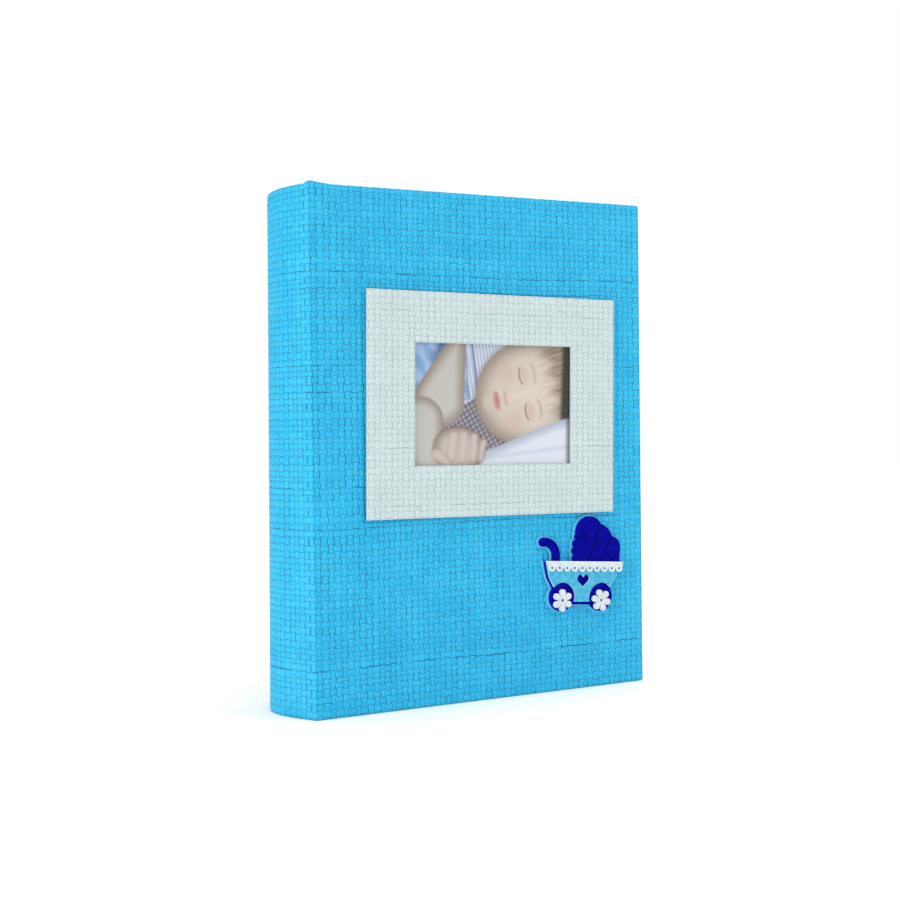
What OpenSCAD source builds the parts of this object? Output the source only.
// Scrapbook album: a case-bound book of card leaves in woven covers, standing upright.
// Its front cover carries a woven picture frame with a print, and a layered felt pram.
// +Z is up, the front cover faces -Y, the spine is at -X and the fore edge at +X.
// The origin is at the middle of the bounding box's bottom. Lengths are in millimetres.

/* [Case] */
// Width of a cover, from its hinge edge to its fore edge
cover_w = 240; // [200:1:300]
// Height of the covers and of the spine
cover_h = 320; // [300:1:360]
// Thickness of the closed album, over its two covers
album_d = 66; // [54:1:76]
// Thickness of the board inside each cover
board_t = 2.5; // [2:0.1:3.5]
// Thickness of the woven cloth
cloth_t = 0.5; // [0.4:0.05:0.7]
// Thickness of an endpaper
paper_t = 0.25; // [0.2:0.05:0.35]
// Width of the cloth that is turned in around a board
turn_in = 16; // [10:1:24]
// Width of the cloth that shows around a pastedown
paste_margin = 4; // [2:0.5:8]
// How far the rounded spine bulges behind the two hinge edges
spine_bulge = 6.8; // [4:0.1:10]
// Thickness of the flexible board inside the spine
spine_t = 1.8; // [1.2:0.1:2.4]

/* [Leaves] */
// Thickness of a card leaf
leaf_t = 0.5; // [0.3:0.05:0.5]
// How far the covers stand beyond the leaves at the head, tail and fore edge
square_w = 4; // [2:0.5:8]
// Width of the bound strip between the hinge edge and the leaves' creases
bound_w = 15; // [12:0.5:25]

/* [Picture frame] */
// Width of the frame
frame_w = 180; // [150:1:190]
// Height of the frame
frame_h = 140; // [115:1:150]
// Width of the frame's window
window_w = 114; // [90:1:118]
// Height of the frame's window
window_h = 76; // [60:1:80]
// Distance from the hinge edge to the frame's centre
frame_x = 125.9; // [110:0.1:135]
// Height of the frame's centre
frame_z = 187.1; // [180:0.1:200]
// Clockwise turn of the frame on the cover, in degrees
frame_tilt = 0.9; // [0:0.1:2]
// Thickness of the spacer that leaves the print's pocket behind the frame
spacer_t = 0.8; // [0.8:0.05:1.2]
// Thickness of the frame with its cloth
frame_t = 2.4; // [1.8:0.1:3]
// Thickness of the frame's own cloth
frame_cloth_t = 0.4; // [0.3:0.05:0.6]
// Width of the paper print
print_w = 127; // [127:1:130]
// Height of the paper print
print_h = 89; // [85:1:89]
// Thickness of the paper print
print_t = 0.3; // [0.2:0.05:0.3]

/* [Felt pram] */
// Distance from the hinge edge to the pram's centre
pram_x = 189.4; // [150:0.1:195]
// Height of the pram's axle line
pram_z = 58.6; // [40:0.1:60]
// Clockwise turn of the pram on the cover, in degrees
pram_tilt = 4; // [0:0.5:8]
// Thickness of the pale backing felt
backing_t = 1.4; // [0.8:0.1:2]
// Thickness of the dark felt with the hood, handle and wheels
hood_t = 1.5; // [0.8:0.1:2]
// Thickness of the light felt body
body_t = 1.4; // [0.8:0.1:2]
// Thickness of the scalloped trim
trim_t = 0.8; // [0.4:0.1:1.2]
// Thickness of the wheel flowers
flower_t = 1.8; // [0.8:0.1:2]

/* [Hidden] */
$fn = 96;
// A cut runs past its face by this much.
past = 1;
// Air between a cover and the block, and around the hinge roll of a cover.
air = 0.3;
// Number of card leaves.
leaf_count = 30;
// The board and its two layers of cloth, and then with the pastedown.
case_t = board_t + 2 * cloth_t;
cover_t = case_t + paper_t;
// The hinge edge is rolled: its radius is half of the covered board.
roll_r = case_t / 2;
// What stands out of the front cover.
proud = max(spacer_t + frame_t, backing_t + hood_t + max(body_t + trim_t, flower_t));
hinge_edge_x = spine_bulge / 2 - cover_w / 2;
fore_x = hinge_edge_x + cover_w;
front_y = (proud - album_d) / 2;
back_y = front_y + album_d;
mid_y = (front_y + back_y) / 2;
hinge_x = hinge_edge_x + roll_r;
// The spine's outer arc joins the two hinge rolls' centre lines and bulges by spine_bulge.
half_chord = album_d / 2 - roll_r;
spine_r = (half_chord * half_chord + spine_bulge * spine_bulge) / (2 * spine_bulge);
spine_centre_x = hinge_edge_x - spine_bulge + spine_r;
// The spine's shell stays clear of the rolls, which turn inside this half width.
spine_half = album_d / 2 - case_t - air;
// Radii of the spine's layers, from the outside in.
spine_board_r = spine_r - cloth_t;
lining_r = spine_board_r - spine_t;
block_r = lining_r - cloth_t;
// The block of bound strips, between the two covers.
block_front_y = front_y + cover_t + air;
block_d = album_d - 2 * (cover_t + air);
guard_t = (block_d - 2 * paper_t - leaf_count * leaf_t) / (leaf_count + 1);
crease_x = hinge_edge_x + bound_w;
// The bound strips end before the crease, and each leaf starts after it.
strip_end_x = crease_x - 0.6;
leaf_start_x = crease_x + 0.3;
leaf_h = cover_h - 2 * square_w;
leaf_end_x = fore_x - square_w;
// The print's pocket behind the frame.
pocket_w = print_w + 1;
pocket_gap = 0.1;
frame_inset = 1;
// Window and print sit a little off the frame's centre.
window_off = [-0.5, 0.4];
// The pram's own outline, about the middle of its axle line.
wheel_base = 30.4;
pram_shift = -1;
disc_r = 9.2;
disc_v = 1.9;
arch_r = 9.7;
body_top_v = 25.4;
body_half = 29.8;
trim_first_u = -25.8;
trim_v = 21.2;
trim_pitch = 5.85;
scallops = 10;
eyelet_r = 0.9;
// Felt left under the hood's pressed eyelets
eyelet_floor = 0.3;
flower_hole_r = 1.05;
// Width of the heart that is cut out of the body
heart_w = 9.4;

// Name and middle plane of each leaf, counted from the front cover.
function leaf_name(k) = str("leaf_", k < 10 ? "0" : "", k);
function leaf_y(k) = block_front_y + paper_t + k * guard_t + (k - 0.5) * leaf_t;

// ---- Covers: drawn from x = hinge and y = 0 at the outer face, going inwards along +Y ----

module front_side() {
    translate([0, front_y, 0]) children();
}

module back_side() {
    translate([0, back_y, 0]) mirror([0, 1, 0]) children();
}

// Section of a cover or its board: a flat slab that ends in a round roll at the hinge.
module rolled_slab(outer_y, thickness, end_x) {
    translate([hinge_x, outer_y]) square([end_x - hinge_x, thickness]);
    translate([hinge_x, outer_y + thickness / 2]) circle(r = thickness / 2);
}

module cover_board() {
    translate([0, 0, cloth_t])
        linear_extrude(cover_h - 2 * cloth_t) rolled_slab(cloth_t, board_t, fore_x - cloth_t);
}

// The well inside the turned-in cloth, grown by a margin on its four sides.
module turn_in_well(margin, from_y, to_y) {
    translate([hinge_x + turn_in - margin, from_y, turn_in - margin])
        cube([fore_x - hinge_x - 2 * turn_in + 2 * margin, to_y - from_y,
              cover_h - 2 * turn_in + 2 * margin]);
}

module cover_cloth() {
    difference() {
        linear_extrude(cover_h) rolled_slab(0, case_t, fore_x);
        cover_board();
        turn_in_well(0, cloth_t + board_t, case_t + past);
    }
}

// The pastedown lies on the turned-in cloth and sinks onto the board inside it.
module cover_pastedown() {
    difference() {
        union() {
            translate([hinge_x + 1, case_t, paste_margin])
                cube([fore_x - paste_margin - hinge_x - 1, paper_t, cover_h - 2 * paste_margin]);
            turn_in_well(0, case_t - cloth_t, case_t);
        }
        turn_in_well(-paper_t, case_t - cloth_t + paper_t, cover_t + past);
    }
}

module front_board() {
    color("tan") front_side() cover_board();
}

module front_cloth() {
    color("deepskyblue") front_side() cover_cloth();
}

module front_pastedown() {
    color("aliceblue") front_side() cover_pastedown();
}

module back_board() {
    color("tan") back_side() cover_board();
}

module back_cloth() {
    color("deepskyblue") back_side() cover_cloth();
}

module back_pastedown() {
    color("aliceblue") back_side() cover_pastedown();
}

// ---- Spine ----

// Section of one curved layer of the spine, between two radii.
module spine_layer(outer_r, inner_r) {
    intersection() {
        translate([spine_centre_x, mid_y]) difference() {
            circle(r = outer_r, $fn = 360);
            circle(r = inner_r, $fn = 360);
        }
        translate([spine_centre_x - spine_r - past, mid_y - spine_half])
            square([spine_r, 2 * spine_half]);
    }
}

module spine_board() {
    color("tan") translate([0, 0, cloth_t])
        linear_extrude(cover_h - 2 * cloth_t) spine_layer(spine_board_r, lining_r);
}

// The cloth wraps the spine board's outside and is turned in at its head and tail.
module spine_cloth() {
    color("lightskyblue") difference() {
        linear_extrude(cover_h) spine_layer(spine_r, block_r);
        translate([0, 0, cloth_t])
            linear_extrude(cover_h - 2 * cloth_t) spine_layer(spine_board_r, lining_r);
        translate([0, 0, turn_in])
            linear_extrude(cover_h - 2 * turn_in) spine_layer(lining_r, block_r);
    }
}

// Gauze lining that glues the block to the spine board, between the turned-in ends.
module spine_lining() {
    color("ivory") translate([0, 0, turn_in])
        linear_extrude(cover_h - 2 * turn_in) spine_layer(lining_r, block_r);
}

// One strip of the bound block: its back edge follows the rounded spine.
module bound_strip(from_y, thickness) {
    intersection() {
        translate([spine_centre_x - spine_r, from_y])
            square([strip_end_x - spine_centre_x + spine_r, thickness]);
        translate([spine_centre_x, mid_y]) circle(r = block_r, $fn = 360);
    }
}

// The bound edges of the leaves, and of the two flyleaves outside them.
module leaf_stubs() {
    color("white") translate([0, 0, square_w]) linear_extrude(leaf_h) {
        for (k = [1 : leaf_count]) bound_strip(leaf_y(k) - leaf_t / 2, leaf_t);
        bound_strip(block_front_y, paper_t);
        bound_strip(block_front_y + block_d - paper_t, paper_t);
    }
}

// The card guards that keep the leaves apart, so that mounted pictures have room.
module page_guards() {
    color("gainsboro") translate([0, 0, square_w]) linear_extrude(leaf_h)
        for (k = [0 : leaf_count])
            bound_strip(block_front_y + paper_t + k * (guard_t + leaf_t), guard_t);
}

// A rolled band that finishes the back of the block, at the given height.
module end_band(height) {
    band_r = 0.9;
    band_path_r = block_r - band_r - 0.1;
    band_sweep = 2 * asin((block_d / 2 - 2) / band_path_r);
    translate([spine_centre_x, mid_y, height]) rotate([0, 0, 180 - band_sweep / 2])
        rotate_extrude(angle = band_sweep, $fn = 360)
            translate([band_path_r, 0]) circle(r = band_r, $fn = 32);
}

module head_band() {
    color("white") end_band(square_w + leaf_h + 0.9);
}

module tail_band() {
    color("white") end_band(square_w - 0.9);
}

// ---- Leaves ----

module sheet(y, thickness) {
    translate([leaf_start_x, y - thickness / 2, square_w])
        cube([leaf_end_x - leaf_start_x, thickness, leaf_h]);
}

module leaf(k) {
    color("white") sheet(leaf_y(k), leaf_t);
}

module front_flyleaf() {
    color("aliceblue") sheet(block_front_y + paper_t / 2, paper_t);
}

module back_flyleaf() {
    color("aliceblue") sheet(block_front_y + block_d - paper_t / 2, paper_t);
}

// ---- Picture frame, drawn flat and stood up on the front cover ----

// Children drawn in a plane with x to the right and y up are raised off the front cover
// by lift and turned clockwise about the given place.
module on_front(x, z, tilt, lift) {
    translate([hinge_edge_x + x, front_y - lift, z]) rotate([0, tilt, 0]) rotate([90, 0, 0])
        children();
}

module window_hole(grow) {
    translate(window_off) square([window_w + 2 * grow, window_h + 2 * grow], center = true);
}

// The pocket is open at the top, where the print slides in.
module frame_spacer() {
    pocket_bottom = -print_h / 2 - pocket_gap;
    color("tan") on_front(frame_x, frame_z, frame_tilt, 0) linear_extrude(spacer_t)
        difference() {
            square([frame_w - 2 * frame_inset, frame_h - 2 * frame_inset], center = true);
            translate([-pocket_w / 2, pocket_bottom]) square([pocket_w, frame_h]);
        }
}

module frame_board() {
    color("tan") on_front(frame_x, frame_z, frame_tilt, spacer_t)
        linear_extrude(frame_t - frame_cloth_t) difference() {
            square([frame_w - 2 * frame_cloth_t, frame_h - 2 * frame_cloth_t], center = true);
            window_hole(frame_cloth_t);
        }
}

// The white woven cloth covers the frame's face and folds back around both its edges.
module frame_cloth() {
    color("whitesmoke") on_front(frame_x, frame_z, frame_tilt, spacer_t) difference() {
        linear_extrude(frame_t) difference() {
            square([frame_w, frame_h], center = true);
            window_hole(0);
        }
        translate([0, 0, -past]) linear_extrude(frame_t - frame_cloth_t + past) difference() {
            square([frame_w - 2 * frame_cloth_t, frame_h - 2 * frame_cloth_t], center = true);
            window_hole(frame_cloth_t);
        }
    }
}

module photo_print() {
    print_lift = (spacer_t - print_t) / 2;
    color("lightsteelblue") on_front(frame_x, frame_z, frame_tilt, print_lift)
        linear_extrude(print_t) square([print_w, print_h], center = true);
}

// ---- Felt pram: flat layers of thickness t in its own plane, u to the right and v up ----

module on_cover_pram(lift) {
    on_front(pram_x, pram_z, pram_tilt, lift) children();
}

module disc(u, v, r, t) {
    translate([u, v, 0]) cylinder(r = r, h = t);
}

module wheel_discs(v, r, t) {
    for (side = [-1, 1]) disc(pram_shift + side * wheel_base / 2, v, r, t);
}

// A boat-shaped body, wide at the top, grown by a margin.
module tub(grow, t) {
    waist = 22 + grow;
    keel = 13 + grow;
    keel_v = -0.9 - 1.6 * grow;
    linear_extrude(t)
        polygon([[-body_half - grow, body_top_v], [body_half + grow - 1, body_top_v],
                 [waist + 4, 15], [waist - 0.6, 8], [keel, keel_v],
                 [-keel - 1, keel_v], [-waist - 0.6, 8], [-waist - 5, 15]]);
}

// A curved handle: a straight stem, a quarter ring and a round end.
module handle(grow, t) {
    handle_r = 9;
    handle_half = 2.9 + grow;
    translate([-30.8, 28.6, 0]) {
        translate([handle_r - handle_half, -5.6, 0]) cube([2 * handle_half, 5.7, t]);
        intersection() {
            difference() {
                cylinder(r = handle_r + handle_half, h = t);
                translate([0, 0, -past])
                    cylinder(r = handle_r - handle_half, h = t + 2 * past);
            }
            translate([-1.5, 0, 0]) cube([handle_r + 2 * handle_half, 20, t]);
        }
        disc(-1.5, sqrt(handle_r * handle_r - 2.25), handle_half, t);
    }
}

// Discs along the scalloped left edge of the hood.
module hood_scallops(first, last, r, t) {
    for (i = [first : last])
        disc(13 + 20.3 * cos(196 - 13.5 * i), 33 + 20.3 * sin(196 - 13.5 * i), r, t);
}

// The hood: a fan of three lobes on the right and scallops on the left.
module hood_outline(grow, t) {
    disc(3.2, 44.6, 10.6 + grow, t);
    disc(9.2, 37.3, 13.3 + grow, t);
    disc(20.6, 34.6, 7.8 + grow, t);
    translate([0, 20, 0]) cube([28.2 + grow, 15, t]);
    intersection() {
        disc(13, 33, 20.3 + grow, t);
        translate([-10, 20, 0]) cube([13, 34, t]);
    }
    hood_scallops(0, 5, 2.5 + grow, t);
}

module pram_outline(grow, t) {
    hood_outline(grow, t);
    handle(grow, t);
    tub(grow + 1.2, t);
    wheel_discs(disc_v, disc_r + grow, t);
}

module pram_backing() {
    color("paleturquoise") on_cover_pram(0) pram_outline(0.9, backing_t);
}

module pram_hood() {
    color("mediumblue") on_cover_pram(backing_t) difference() {
        pram_outline(0, hood_t);
        translate([0, 0, eyelet_floor]) hood_scallops(1, 5, eyelet_r, hood_t);
    }
}

// A heart of two discs and a point.
module heart(size, t) {
    for (side = [-1, 1]) disc(side * size / 4, 0, size * 0.27, t);
    linear_extrude(t)
        polygon([[-0.433 * size, -0.198 * size], [0, 0.09 * size], [0.433 * size, -0.198 * size],
                 [0, -0.6 * size]]);
}

module pram_body() {
    color("skyblue") on_cover_pram(backing_t + hood_t) difference() {
        translate([-0.2, 0, 0]) tub(0, body_t);
        translate([0, 0, -past]) wheel_discs(disc_v, arch_r, body_t + 2 * past);
        translate([-0.7, 14.35, -past]) heart(heart_w, body_t + 2 * past);
        translate([0, 0, -past]) trim_discs(eyelet_r, body_t + 2 * past);
    }
}

module trim_discs(r, t) {
    for (i = [0 : scallops - 1]) disc(trim_first_u + i * trim_pitch, trim_v, r, t);
}

// A band with a scalloped lower edge and an eyelet in each scallop.
module pram_trim() {
    color("white") on_cover_pram(backing_t + hood_t + body_t) difference() {
        union() {
            linear_extrude(trim_t)
                polygon([[-30.2, body_top_v + 0.2], [29.7, body_top_v + 0.2], [29.1, trim_v],
                         [-28.2, trim_v]]);
            trim_discs(2.45, trim_t);
        }
        translate([0, 0, -past]) trim_discs(eyelet_r, trim_t + 2 * past);
    }
}

// A petal along +X: a round end on a stem that widens towards it.
module petal() {
    petal_reach = 5.15;
    petal_r = 2.1;
    stem_half = 0.9;
    disc(petal_reach, 0, petal_r, flower_t);
    linear_extrude(flower_t)
        polygon([[1, -stem_half], [petal_reach - 0.6, -petal_r + 0.1],
                 [petal_reach - 0.6, petal_r - 0.1], [1, stem_half]]);
}

// A flower of six petals with a hole in the middle.
module flower(first_angle) {
    difference() {
        union() {
            for (i = [0 : 5]) rotate([0, 0, first_angle + 60 * i]) petal();
            disc(0, 0, 1.9, flower_t);
        }
        translate([0, 0, -past]) disc(0, 0, flower_hole_r, flower_t + 2 * past);
    }
}

module wheel_flower(side, first_angle) {
    color("white") on_cover_pram(backing_t + hood_t)
        translate([pram_shift + side * wheel_base / 2, 0, 0]) flower(first_angle);
}

module left_wheel_flower() {
    wheel_flower(-1, 32);
}

module right_wheel_flower() {
    wheel_flower(1, 49);
}

spine_board();
spine_cloth();
spine_lining();
leaf_stubs();
page_guards();
head_band();
tail_band();
front_board();
front_cloth();
front_pastedown();
frame_spacer();
frame_board();
frame_cloth();
photo_print();
pram_backing();
pram_hood();
pram_body();
pram_trim();
left_wheel_flower();
right_wheel_flower();
back_board();
back_cloth();
back_pastedown();
front_flyleaf();
back_flyleaf();
for (k = [1 : leaf_count]) leaf(k);
